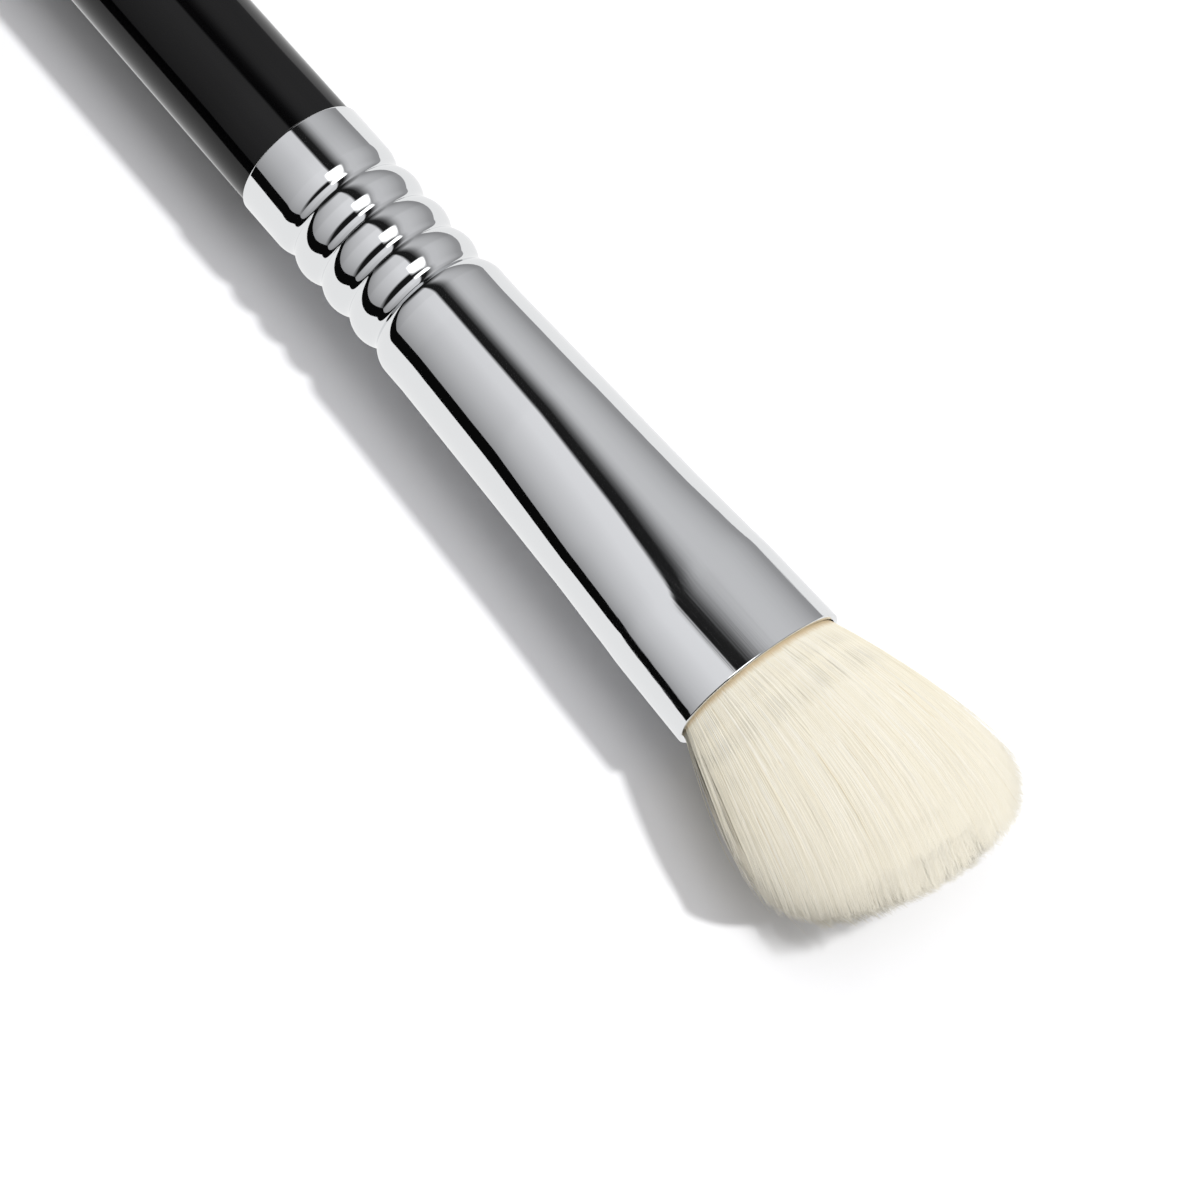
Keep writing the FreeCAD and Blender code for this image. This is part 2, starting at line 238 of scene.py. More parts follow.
class Effects:
    """Surface effects that several finishes share, each made once as a node group."""

    _made: dict[str, bpy.types.NodeTree] = {}

    @classmethod
    def streaks(cls) -> bpy.types.NodeTree:
        """Fine marks that run along the brush.

        Returns:
            A group with inputs Fineness and Run, and output Mask.
        """
        if "streaks" not in cls._made:
            group = bpy.data.node_groups.new("LengthwiseStreaks", "ShaderNodeTree")
            for name, value in (("Fineness", 4000.0), ("Run", 60.0)):
                socket = group.interface.new_socket(name, in_out="INPUT", socket_type="NodeSocketFloat")
                socket.default_value = value
            group.interface.new_socket("Mask", in_out="OUTPUT", socket_type="NodeSocketFloat")
            build = Shading(group)
            given = build.add("NodeGroupInput")
            coordinates = build.add("ShaderNodeTexCoord")
            stretch = build.add("ShaderNodeCombineXYZ")
            build.join(given.outputs["Run"], stretch.inputs["X"])
            build.join(given.outputs["Fineness"], stretch.inputs["Y"])
            build.join(given.outputs["Fineness"], stretch.inputs["Z"])
            scaled = build.add("ShaderNodeVectorMath", operation="MULTIPLY")
            build.join(coordinates.outputs["Object"], scaled.inputs[0])
            build.join(stretch.outputs[0], scaled.inputs[1])
            pattern = build.noise(scaled.outputs[0], 1.0, 3.0)
            result = build.add("NodeGroupOutput")
            build.join(build.spread(pattern, 0.35, 0.7, 0.0, 1.0), result.inputs["Mask"])
            cls._made["streaks"] = group
        return cls._made["streaks"]

    @classmethod
    def mottle(cls) -> bpy.types.NodeTree:
        """Broad soft unevenness.

        Returns:
            A group with input Scale and output Mask.
        """
        if "mottle" not in cls._made:
            group = bpy.data.node_groups.new("SoftMottle", "ShaderNodeTree")
            socket = group.interface.new_socket("Scale", in_out="INPUT", socket_type="NodeSocketFloat")
            socket.default_value = 300.0
            group.interface.new_socket("Mask", in_out="OUTPUT", socket_type="NodeSocketFloat")
            build = Shading(group)
            given = build.add("NodeGroupInput")
            coordinates = build.add("ShaderNodeTexCoord")
            node = build.add("ShaderNodeTexNoise")
            build.join(coordinates.outputs["Object"], node.inputs["Vector"])
            build.join(given.outputs["Scale"], node.inputs["Scale"])
            node.inputs["Detail"].default_value = 2.0
            result = build.add("NodeGroupOutput")
            build.join(node.outputs["Fac"], result.inputs["Mask"])
            cls._made["mottle"] = group
        return cls._made["mottle"]


def place_effect(build: Shading, group: bpy.types.NodeTree, **values: float) -> bpy.types.NodeSocket:
    """Puts a shared effect into a material.

    Args:
        build: the material's tree.
        group: the effect.
        values: the effect's inputs.

    Returns:
        The effect's mask.
    """
    node = build.add("ShaderNodeGroup", node_tree=group)
    for name, value in values.items():
        node.inputs[name].default_value = value
    return node.outputs["Mask"]


def new_finish(name: str) -> tuple[bpy.types.Material, Shading, bpy.types.Node]:
    """Starts a material.

    Args:
        name: the finish's name.

    Returns:
        The material, its tree and its surface shader.
    """
    material = bpy.data.materials.new(name)
    material.use_nodes = True
    build = Shading(material.node_tree)
    return material, build, material.node_tree.nodes["Principled BSDF"]


def add_bump(build: Shading, surface: bpy.types.Node, height: object, strength: float, depth: float) -> None:
    """Raises a surface by a pattern.

    Args:
        build: the material's tree.
        surface: its shader.
        height: the pattern's socket.
        strength: how much of the effect shows.
        depth: the pattern's height in metres.
    """
    bump = build.add("ShaderNodeBump")
    bump.inputs["Strength"].default_value = strength
    bump.inputs["Distance"].default_value = depth
    build.join(height, bump.inputs["Height"])
    build.join(bump.outputs["Normal"], surface.inputs["Normal"])


@dataclass(frozen=True)
class LacquerFinish:
    """Black gloss lacquer with a trace of the wood's long grain under it."""

    colour: Colour = (0.0012, 0.0012, 0.0014)
    lift: Colour = (0.0028, 0.0026, 0.0028)
    roughness: tuple[float, float] = (0.05, 0.09)
    ior: float = 1.37
    relief: tuple[float, float] = (0.15, 0.00001)

    def make(self) -> bpy.types.Material:
        """Builds the material."""
        material, build, surface = new_finish("black_lacquer")
        grain = place_effect(build, Effects.streaks(), Fineness=1500.0, Run=25.0)
        haze = place_effect(build, Effects.mottle(), Scale=420.0)
        build.join(build.mix(grain, self.colour, self.lift), surface.inputs["Base Color"])
        build.join(build.spread(haze, *NOISE_MIDDLE, *self.roughness), surface.inputs["Roughness"])
        surface.inputs["IOR"].default_value = self.ior
        add_bump(build, surface, haze, *self.relief)
        return material


@dataclass(frozen=True)
class PlatingFinish:
    """Mirror plating with fine lengthwise polishing marks, stronger on the pressed front."""

    colour: Colour = (0.79, 0.80, 0.81)
    roughness: tuple[float, float] = (0.035, 0.11)
    press_start: float = 0.066
    press_run: float = 0.002
    rear_marks: float = 0.15
    mark_depth: float = 0.0000015
    mark_share: float = 0.6
    wave_share: float = 2.2

    def make(self) -> bpy.types.Material:
        """Builds the material."""
        material, build, surface = new_finish("mirror_plating")
        surface.inputs["Base Color"].default_value = (*self.colour, 1.0)
        surface.inputs["Metallic"].default_value = 1.0
        marks = place_effect(build, Effects.streaks(), Fineness=7000.0, Run=70.0)
        waves = place_effect(build, Effects.mottle(), Scale=160.0)
        where = build.add("ShaderNodeSeparateXYZ")
        build.join(build.add("ShaderNodeTexCoord").outputs["Object"], where.inputs[0])
        start, end = self.press_start - self.press_run, self.press_start + self.press_run
        front = build.spread(where.outputs["X"], start, end, self.rear_marks, 1.0)
        worn = build.math("MULTIPLY", marks, front)
        build.join(build.spread(worn, 0.0, 1.0, *self.roughness), surface.inputs["Roughness"])
        cut = build.math("MULTIPLY", worn, self.mark_share)
        height = build.math("ADD", cut, build.math("MULTIPLY", waves, self.wave_share))
        add_bump(build, surface, height, 1.0, self.mark_depth)
        return material


@dataclass(frozen=True)
class BristleFinish:
    """Ivory filaments, each with its own shade, tan at the root and paler towards the tip."""

    stops: tuple[tuple[float, Colour], ...] = (
        (0.0, (0.73, 0.635, 0.46)),
        (0.25, (0.83, 0.775, 0.63)),
        (0.60, (0.85, 0.80, 0.665)),
        (1.0, (0.88, 0.845, 0.75)),
    )
    root: Colour = (0.62, 0.47, 0.27)
    tip: Colour = (0.84, 0.81, 0.725)
    tip_run: tuple[float, float, float, float] = (0.45, 1.0, 0.0, 0.45)
    root_run: tuple[float, float, float, float] = (0.022, 0.042, 0.8, 0.0)
    roughness: tuple[float, float] = (0.38, 0.6)
    specular: float = 0.25

    def make(self) -> bpy.types.Material:
        """Builds the material."""
        material, build, surface = new_finish("ivory_bristles")
        shade = build.add("ShaderNodeAttribute", attribute_name="shade").outputs["Fac"]
        along = build.add("ShaderNodeAttribute", attribute_name="along").outputs["Fac"]
        own = build.ramp(shade, list(self.stops))
        pale = build.mix(build.spread(along, *self.tip_run), own, self.tip)
        rooted = build.mix(build.spread(along, *self.root_run), pale, self.root)
        build.join(rooted, surface.inputs["Base Color"])
        build.join(build.spread(shade, 0.0, 1.0, *self.roughness), surface.inputs["Roughness"])
        surface.inputs["Specular IOR Level"].default_value = self.specular
        return material


@dataclass(frozen=True)
class HeartFinish:
    """The packed bristles under the outer ones: ivory with fine streaks that fan out from the mouth."""

    deep: Colour = (0.82, 0.74, 0.57)
    pale: Colour = (0.87, 0.805, 0.655)
    fineness: float = 70.0
    run: float = 2.0
    contrast: tuple[float, float] = (0.3, 0.6)
    roughness: tuple[float, float] = (0.6, 0.8)
    specular: float = 0.2
    relief: tuple[float, float] = (0.6, 0.00006)

    def make(self) -> bpy.types.Material:
        """Builds the material."""
        material, build, surface = new_finish("packed_bristles")
        fan = build.add("ShaderNodeAttribute", attribute_name="fan").outputs["Vector"]
        stretched = build.add("ShaderNodeVectorMath", operation="MULTIPLY")
        build.join(fan, stretched.inputs[0])
        stretched.inputs[1].default_value = (self.fineness, self.fineness, self.run)
        streak = build.noise(stretched.outputs[0], 1.0, 3.0)
        mask = build.spread(streak, *self.contrast, 0.0, 1.0)
        build.join(build.mix(mask, self.deep, self.pale), surface.inputs["Base Color"])
        build.join(build.spread(streak, *NOISE_MIDDLE, *self.roughness), surface.inputs["Roughness"])
        surface.inputs["Specular IOR Level"].default_value = self.specular
        add_bump(build, surface, streak, *self.relief)
        return material


@dataclass(frozen=True)
class InnerFinish:
    """A finish for a piece inside the ferrule: a mottled colour with a little relief."""

    name: str
    pale: Colour
    deep: Colour
    roughness: tuple[float, float]
    scale: float
    relief: tuple[float, float] = (0.4, 0.00002)

    def make(self) -> bpy.types.Material:
        """Builds the material."""
        material, build, surface = new_finish(self.name)
        cloud = place_effect(build, Effects.mottle(), Scale=self.scale)
        build.join(build.mix(cloud, self.pale, self.deep), surface.inputs["Base Color"])
        build.join(build.spread(cloud, *NOISE_MIDDLE, *self.roughness), surface.inputs["Roughness"])
        add_bump(build, surface, cloud, *self.relief)
        return material


def finish_mesh(bm: bmesh.types.BMesh, name: str, sharp: float = 35.0) -> bpy.types.Object:
    """Turns a finished bmesh into a smooth-shaded object in the scene.

    Args:
        bm: the shape, which is freed.
        name: the piece's name.
        sharp: the angle in degrees past which an edge stays crisp.

    Returns:
        The object.
    """
    bmesh.ops.remove_doubles(bm, verts=bm.verts, dist=1e-8)
    bmesh.ops.recalc_face_normals(bm, faces=bm.faces)
    mesh = bpy.data.meshes.new(name)
    bm.to_mesh(mesh)
    bm.free()
    mesh.shade_smooth()
    mesh.set_sharp_from_angle(angle=math.radians(sharp))
    piece = bpy.data.objects.new(name, mesh)
    bpy.context.scene.collection.objects.link(piece)
    return piece


def turn_profile(profile: list[tuple[float, float]], steps: int, closed: bool) -> bmesh.types.BMesh:
    """Spins a profile about the X axis.

    Args:
        profile: points as distance along the axis and distance from it.
        steps: how many segments the full turn has.
        closed: whether the last point joins the first.

    Returns:
        The turned shape.
    """
    bm = bmesh.new()
    verts = [bm.verts.new((x, 0.0, r)) for x, r in profile]
    edges = [bm.edges.new(pair) for pair in zip(verts, verts[1:])]
    if closed:
        edges.append(bm.edges.new((verts[-1], verts[0])))
    bmesh.ops.spin(
        bm, geom=verts + edges, cent=(0, 0, 0), axis=(1, 0, 0), dvec=(0, 0, 0),
        angle=math.tau, steps=steps, use_merge=True, use_duplicate=False,
    )
    return bm


def arc_points(
    centre: tuple[float, float], radius: float, start: float, end: float, count: int
) -> list[tuple[float, float]]:
    """Points on an arc.

    Args:
        centre: the arc's centre.
        radius: its radius.
        start: the angle of the first point, in radians.
        end: the angle of the last point.
        count: how many segments there are.

    Returns:
        The points from start to end.
    """
    angles = [start + (end - start) * index / count for index in range(count + 1)]
    return [(centre[0] + radius * math.cos(a), centre[1] + radius * math.sin(a)) for a in angles]


@dataclass
class Handle:
    """The turned handle: round tail, long bow, straight shank and tenon. Sizes in millimetres."""

    axis: BrushAxis
    length: float = 122.0
    joint_radius: float = 3.87
    neck_radius: float = 3.72
    shank_length: float = 34.0
    tail_radius: float = 2.3
    tenon_radius: float = 3.29
    tenon_length: float = 14.2
    tenon_chamfer: float = 0.4
    joint_gap: float = 0.02
    edge_round: float = 0.07
    edge_steps: int = 4
    tail_steps: int = 14
    tail_stop: float = 0.012
    bow_steps: int = 26
    shank_steps: int = 8
    steps: int = 112
    finish: LacquerFinish = field(default_factory=LacquerFinish)

    def profile(self) -> list[tuple[float, float]]:
        """Lists the outline from the tail's end to the tenon's end."""
        tail_x = self.tail_radius - self.length
        stop = math.pi / 2 + self.tail_stop
        points = arc_points((tail_x, 0.0), self.tail_radius, math.pi, stop, self.tail_steps)
        run = -self.shank_length - tail_x
        rise = self.neck_radius - self.tail_radius
        for index in range(1, self.bow_steps):
            share = index / self.bow_steps
            points.append((tail_x + run * share, self.tail_radius + rise * share * (2 - share)))
        straight = self.shank_length - self.joint_gap - self.edge_round
        for index in range(self.shank_steps + 1):
            share = index / self.shank_steps
            radius = self.neck_radius + (self.joint_radius - self.neck_radius) * share
            points.append((-self.shank_length + straight * share, radius))
        corner = (-self.joint_gap - self.edge_round, self.joint_radius - self.edge_round)
        points += arc_points(corner, self.edge_round, math.pi / 2, 0.0, self.edge_steps)[1:]
        points.append((-self.joint_gap, self.tenon_radius))
        points.append((self.tenon_length - self.tenon_chamfer, self.tenon_radius))
        points.append((self.tenon_length, self.tenon_radius - self.tenon_chamfer))
        points.append((self.tenon_length, 0.0))
        return points

    def build(self) -> bpy.types.Object:
        """Makes the handle and lets it stand for the CAD handle."""
        bm = turn_profile([(x * MM, r * MM) for x, r in self.profile()], self.steps, closed=False)
        bmesh.ops.translate(bm, verts=bm.verts, vec=self.axis.point(0.0))
        piece = finish_mesh(bm, "lacquered_handle")
        piece.data.materials.append(self.finish.make())
        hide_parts("handle")
        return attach(piece, Body.GRIP.value)


@dataclass
class Ferrule:
    """The plated tube: collar, rolled grooves and beads, and the pressed oval mouth. Sizes in millimetres."""

    axis: BrushAxis
    length: float = 40.0
    wall: float = 0.30
    collar: float = 4.05
    tube: float = 4.22
    first_groove: float = 4.2
    pitch: float = 2.45
    grooves: int = 4
    groove_depth: float = 0.30
    groove_radius: float = 0.55
    bead_rise: float = 0.05
    edge_round: float = 0.12
    lip_steps: tuple[int, int] = (5, 6)
    arc_steps: int = 10
    tube_rings: int = 72
    bore_stride: int = 3
    sharp: float = 50.0
    steps: int = 144
    stations: tuple[tuple[float, float, float, float], ...] = (
        (14.4, 4.22, 4.22, 2.0),
        (21.84, 4.55, 4.35, 2.0),
        (29.0, 4.95, 4.02, 2.0),
        (33.4, 5.20, 3.84, 2.16),
        (34.6, 5.28, 3.66, 2.32),
        (40.0, 5.55, 3.70, 2.18),
    )
    easing: float = 0.3
    crease_start: float = 29.0
    crease_run: float = 3.0
    crease_waves: tuple[tuple[float, int, float], ...] = ((0.16, 2, 0.7), (0.10, 5, 1.9))
    finish: PlatingFinish = field(default_factory=PlatingFinish)

    def chain(self, inset: float) -> list[tuple[float, float]]:
        """Lists the collar, grooves and beads as touching arcs.

        Args:
            inset: how far the chain lies inside the outer surface.

        Returns:
            Points from the collar's rear to the start of the round tube.
        """
        collar = self.collar - inset
        crest = collar + self.bead_rise
        tube = self.tube - inset
        radius = self.groove_radius + inset
        depth = self.groove_depth + self.bead_rise
        reach = (self.pitch**2 / 4 + depth**2) / (2 * depth)
        bead = reach - radius
        height = collar - self.groove_depth + radius
        hollows = [(self.first_groove + index * self.pitch, height) for index in range(self.grooves)]
        rear_run = math.sqrt(reach**2 - (height - collar + bead) ** 2)
        front_run = math.sqrt(reach**2 - (height - tube + bead) ** 2)
        crowns = [(hollows[0][0] - rear_run, collar - bead)]
        crowns += [(x + self.pitch / 2, crest - bead) for x, _ in hollows[:-1]]
        crowns.append((hollows[-1][0] + front_run, tube - bead))

        points: list[tuple[float, float]] = []
        for index, crown in enumerate(crowns):
            start = math.pi / 2
            end = math.pi / 2
            if index > 0:
                start = math.atan2(hollows[index - 1][1] - crown[1], hollows[index - 1][0] - crown[0])
            if index < self.grooves:
                end = math.atan2(hollows[index][1] - crown[1], hollows[index][0] - crown[0])
            points += arc_points(crown, bead, start, end, self.arc_steps)
            if index < self.grooves:
                left = math.atan2(crown[1] - hollows[index][1], crown[0] - hollows[index][0])
                right = math.atan2(
                    crowns[index + 1][1] - hollows[index][1], crowns[index + 1][0] - hollows[index][0]
                )
                points += arc_points(hollows[index], radius, left, right, self.arc_steps)[1:-1]
        return points

    def profile(self) -> list[tuple[float, float]]:
        """Lists the closed wall: outer surface, mouth lip, bore and rear rim."""
        outer = self.chain(0.0)
        inner = self.chain(self.wall)
        round_end = self.stations[0][0]
        count = self.tube_rings
        rings = [round_end + (self.length - round_end) * index / count for index in range(count + 1)]
        lip = self.edge_round
        rear_steps, mouth_steps = self.lip_steps
        points = arc_points((lip, self.collar - lip), lip, math.pi, math.pi / 2, rear_steps)
        points += outer
        points += [(x, self.tube) for x in rings if x < self.length - lip]
        points += arc_points((self.length - lip, self.tube - lip), lip, math.pi / 2, 0.0, mouth_steps)
        points.append((self.length, self.tube - self.wall))
        points += [(x, self.tube - self.wall) for x in reversed(rings[:-1:self.bore_stride])]
        points += list(reversed(inner))
        points.append((0.0, self.collar - self.wall))
        return points

    def section(self, x: float) -> tuple[float, ...]:
        """The outer half width, half height and squareness at a station, eased over a short run.

        Args:
            x: the station.

        Returns:
            Half the width, half the height, and 2 for an oval or more for a squarer one.
        """
        samples = 9
        found = [0.0, 0.0, 0.0]
        for index in range(samples):
            place = x + self.easing * (2 * index / (samples - 1) - 1)
            place = min(max(place, self.stations[0][0]), self.length)
            for before, after in zip(self.stations, self.stations[1:]):
                if before[0] <= place <= after[0]:
                    share = (place - before[0]) / (after[0] - before[0])
                    for number in range(3):
                        start, end = before[number + 1], after[number + 1]
                        found[number] += (start + (end - start) * share) / samples
                    break
        return tuple(found)

    def press(self, bm: bmesh.types.BMesh) -> None:
        """Presses the turned tube oval towards its mouth, with a slightly uneven edge."""
        for vert in bm.verts:
            x = vert.co.x / MM
            if x <= self.stations[0][0]:
                continue
            turn = math.atan2(vert.co.z, vert.co.y)
            radius = math.hypot(vert.co.y, vert.co.z) / MM
            begun = min(max((x - self.crease_start) / self.crease_run, 0.0), 1.0)
            left = min(max((self.length - x) / self.crease_run, 0.0), 1.0)
            wander = sum(size * math.sin(waves * turn + start) for size, waves, start in self.crease_waves)
            shift = begun * left * wander
            wide, high, square = self.section(x + shift)
            sunk = self.tube - radius
            across, up = math.cos(turn), math.sin(turn)
            fuller = (abs(across) ** square + abs(up) ** square) ** (-1 / square)
            vert.co.y = (wide - sunk) * across * fuller * MM
            vert.co.z = (high - sunk) * up * fuller * MM

    def build(self) -> bpy.types.Object:
        """Makes the tube and lets it stand for the CAD ferrule."""
        bm = turn_profile([(x * MM, r * MM) for x, r in self.profile()], self.steps, closed=True)
        self.press(bm)
        bmesh.ops.translate(bm, verts=bm.verts, vec=self.axis.point(0.0))
        piece = finish_mesh(bm, "plated_ferrule", self.sharp)
        piece.data.materials.append(self.finish.make())
        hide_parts("ferrule")
        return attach(piece, Body.GRIP.value)


@dataclass
class Tuft:
    """The bundle of bristles: a solid heart with separate tapered filaments over it. Sizes in millimetres."""

    axis: BrushAxis
    mouth: float = 40.0
    root_depth: float = 0.3
    mouth_half: tuple[float, float] = (5.12, 3.28)
    dome_reach: float = 9.3
    dome_half: tuple[float, float] = (8.1, 0.35)
    light_half: tuple[float, float, float] = (24.0, 11.0, 4.4)
    tip_reach: float = 14.4
    squareness: float = 2.5
    skew: float = 0.10
    bend_length: float = 12.0
    bow: tuple[float, float] = (0.30, 5.4)
    fullest: float = 0.68
    limits: tuple[float, float, float] = (15.6, 8.27, 4.8)
    count: int = 19000
    shell_share: float = 0.66
    heart_share: float = 0.97
    heart_short: float = 1.9
    lie: float = 0.8
    light_middle: tuple[float, float, float] = (5.0, 0.0, -1.0)
    overlap: float = 0.30
    locks: int = 8
    shading_locks: tuple[int, ...] = (7,)
    points: int = 9
    radius: float = 0.028
    thickness: tuple[float, float] = (0.75, 1.15)
    taper: float = 0.84
    taper_start: float = 0.35
    taper_power: float = 1.3
    shade: tuple[float, float] = (0.60, 0.20)
    shell_spread: tuple[float, float] = (0.976, 1.0)
    core_spread: float = 0.93
    edge_limit: float = 0.9995
    turn_stray: float = 0.01
    clump_cells: tuple[int, int] = (11, 7)
    clump_stride: int = 97
    clump_stray: tuple[float, float, float] = (0.12, 0.04, 0.02)
    stray: tuple[float, float, float] = (0.80, 0.17, 0.05)
    tip_lead: float = 0.5
    loose_share: float = 0.015
    loose_stray: float = 3.0
    short_share: float = 0.10
    short_by: tuple[float, float] = (0.4, 2.0)
    turn_steps: int = 720
    heart_sharp: float = 60.0
    seed: int = 11
    finish: BristleFinish = field(default_factory=BristleFinish)
    heart: HeartFinish = field(default_factory=HeartFinish)

    def even_turn(self, share: float) -> float:
        """The angle at a share of the way round the dome's oval, measured along its edge.

        Args:
            share: how far round, from 0 to 1.

        Returns:
            The angle in radians.
        """
        wide, high = self.dome_half
        steps = 180
        lengths = [0.0]
        for index in range(steps):
            turn = math.tau * (index + 0.5) / steps
            lengths.append(lengths[-1] + math.hypot(wide * math.sin(turn), high * math.cos(turn)))
        aim = share % 1.0 * lengths[-1]
        place = bisect.bisect_right(lengths, aim) - 1
        part = (aim - lengths[place]) / (lengths[place + 1] - lengths[place])
        return math.tau * (place + part) / steps

    def ends(self, across: float, up: float) -> tuple[Vector, Vector]:
        """Where a filament starts and stops if it lies perfectly.

        Args:
            across: its place in the bundle along the width, from -1 to 1.
            up: its place along the height.

        Returns:
            Its root and its tip.
        """
        root = Vector((self.mouth - self.root_depth, self.mouth_half[0] * across, self.mouth_half[1] * up))
        edge = min(math.hypot(across, self.overlap * up), self.edge_limit)
        dome = (1 - edge**self.squareness) ** (1 / self.squareness)
        side = self.dome_half[0] * across
        reach = self.dome_reach + (self.tip_reach - self.dome_reach) * dome + self.skew * side
        return root, Vector((self.mouth + reach, side, self.dome_half[1] * up))

    def path(self, root: Vector, tip: Vector, across: float, up: float, count: int) -> list[Vector]:
        """The points of a filament, bowed outwards a little.

        Args:
            root: its start.
            tip: its end.
            across: its place along the width.
            up: its place along the height.
            count: how many points there are.

        Returns:
            The points from root to tip.
        """
        middle = root.lerp(tip, self.fullest) + Vector((0.0, self.bow[0] * across, self.bow[1] * up))
        shares = [step / (count - 1) for step in range(count)]
        return [root * (1 - t) ** 2 + middle * (2 * t * (1 - t)) + tip * t**2 for t in shares]

    def strand(self, index: int, turns: list[float], dice: random.Random) -> tuple[list[Vector], float]:
        """Lays out one filament.

        Args:
            index: its place in the bundle.
            turns: evenly spaced angles round the oval.
            dice: the source of its unevenness.

        Returns:
            Its points from root to tip, and its thickness as a share of the usual one.
        """
        shell = int(self.count * self.shell_share)
        if index < shell:
            spread = dice.uniform(*self.shell_spread)
        else:
            spread = self.core_spread * math.sqrt((index - shell + 0.5) / (self.count - shell))
        turn = turns[int(index * GOLDEN_SHARE % 1.0 * len(turns))] + dice.gauss(0, self.turn_stray)
        across = spread * math.cos(turn)
        up = spread * math.sin(turn)
        root, tip = self.ends(across, up)

        cells_across, cells_up = self.clump_cells
        column, row = int((across + 2) * cells_across), int((up + 2) * cells_up)
        clump = random.Random(column * self.clump_stride + row)
        loose = 1.0 if dice.random() > self.loose_share else self.loose_stray
        tip.y += clump.gauss(0, self.clump_stray[1]) + loose * dice.gauss(0, self.stray[1])
        tip.z += clump.gauss(0, self.clump_stray[2]) + loose * dice.gauss(0, self.stray[2])
        tip.x += clump.gauss(0, self.clump_stray[0]) + self.tip_lead - abs(dice.gauss(0, self.stray[0]))
        if dice.random() < self.short_share:
            tip.x -= dice.uniform(*self.short_by)
        reach, side, rise = self.limits
        tip.x = min(tip.x, self.mouth + reach)
        tip.y = min(max(tip.y, -side), side)
        tip.z = min(max(tip.z, -rise), rise)
        return self.path(root, tip, across, up, self.points), dice.uniform(*self.thickness)

    def lock(
        self, name: str, strands: range, turns: list[float], material: bpy.types.Material
    ) -> bpy.types.Object:
        """Makes one lock of filaments as a mesh.

        Args:
            name: the piece's name.
            strands: which filaments it holds.
            turns: evenly spaced angles round the oval.
            material: their finish.

        Returns:
            The piece.
        """
        curve = bpy.data.curves.new(name, "CURVE")
        curve.dimensions = "3D"
        curve.bevel_depth = self.radius * MM
        curve.bevel_resolution = 0
        curve.use_fill_caps = False
        shades: list[float] = []
        for index in strands:
            dice = random.Random(self.seed * SEED_STRIDE + index)
            path, thickness = self.strand(index, turns, dice)
            shades.append(min(max(dice.gauss(*self.shade), 0.0), 1.0))
            spline = curve.splines.new("POLY")
            spline.points.add(self.points - 1)
            for step, (point, place) in enumerate(zip(spline.points, path)):
                t = step / (self.points - 1)
                point.co = (*self.axis.point(place.x, place.y, place.z), 1.0)
                thinned = max(0.0, (t - self.taper_start) / (1 - self.taper_start))
                point.radius = thickness * (1.0 - self.taper * thinned**self.taper_power)
        maker = bpy.data.objects.new(name, curve)
        bpy.context.scene.collection.objects.link(maker)
        bpy.context.view_layer.update()
        mesh = bpy.data.meshes.new_from_object(maker.evaluated_get(bpy.context.evaluated_depsgraph_get()))
        bpy.data.objects.remove(maker)
        mesh.name = name
        self.close_ends(mesh)
        self.mark(mesh, shades)
        mesh.shade_smooth()
        self.lay_light(mesh)
        mesh.materials.clear()
        mesh.materials.append(material)
        piece = bpy.data.objects.new(name, mesh)
        bpy.context.scene.collection.objects.link(piece)
        return piece

    def close_ends(self, mesh: bpy.types.Mesh) -> None:
        """Closes the root and the tip of each filament."""
        bm = bmesh.new()
        bm.from_mesh(mesh)
        bmesh.ops.holes_fill(bm, edges=[edge for edge in bm.edges if edge.is_boundary], sides=4)
        bm.to_mesh(mesh)
        bm.free()

    def mark(self, mesh: bpy.types.Mesh, shades: list[float]) -> None:
        """Gives each filament its shade, and each point its place from root to tip.

        Args:
            mesh: the lock's mesh.
            shades: one shade for each filament.
        """
        ring = len(mesh.vertices) // (len(shades) * self.points)
        shade = mesh.attributes.new("shade", "FLOAT", "POINT")
        along = mesh.attributes.new("along", "FLOAT", "POINT")
        each = ring * self.points
        shade.data.foreach_set("value", [shades[i // each] for i in range(len(mesh.vertices))])
        last = self.points - 1
        along.data.foreach_set("value", [(i % each) // ring / last for i in range(len(mesh.vertices))])

    def lay_light(self, mesh: bpy.types.Mesh) -> None:
        """Turns a mesh's normals towards a soft ellipsoid, so that the tuft shades as one body."""
        count = len(mesh.vertices)
        places = np.empty(count * 3, dtype=np.float32)
        mesh.vertices.foreach_get("co", places)
        places = (places.reshape(-1, 3) - np.array(self.axis.point(0.0), dtype=np.float32)) / MM
        own = np.empty(count * 3, dtype=np.float32)
        mesh.vertex_normals.foreach_get("vector", own)
        own = own.reshape(-1, 3)
        ahead, aside, above = self.light_middle
        out = places - (self.mouth + ahead, aside, above)
        out[:, 0] = np.maximum(out[:, 0], 0.0)
        out /= np.array(self.light_half) ** 2
        out /= np.maximum(np.linalg.norm(out, axis=1, keepdims=True), TINY)
        turned = own * (1 - self.lie) + out * self.lie
        turned /= np.maximum(np.linalg.norm(turned, axis=1, keepdims=True), TINY)
        mesh.normals_split_custom_set_from_vertices(turned.tolist())

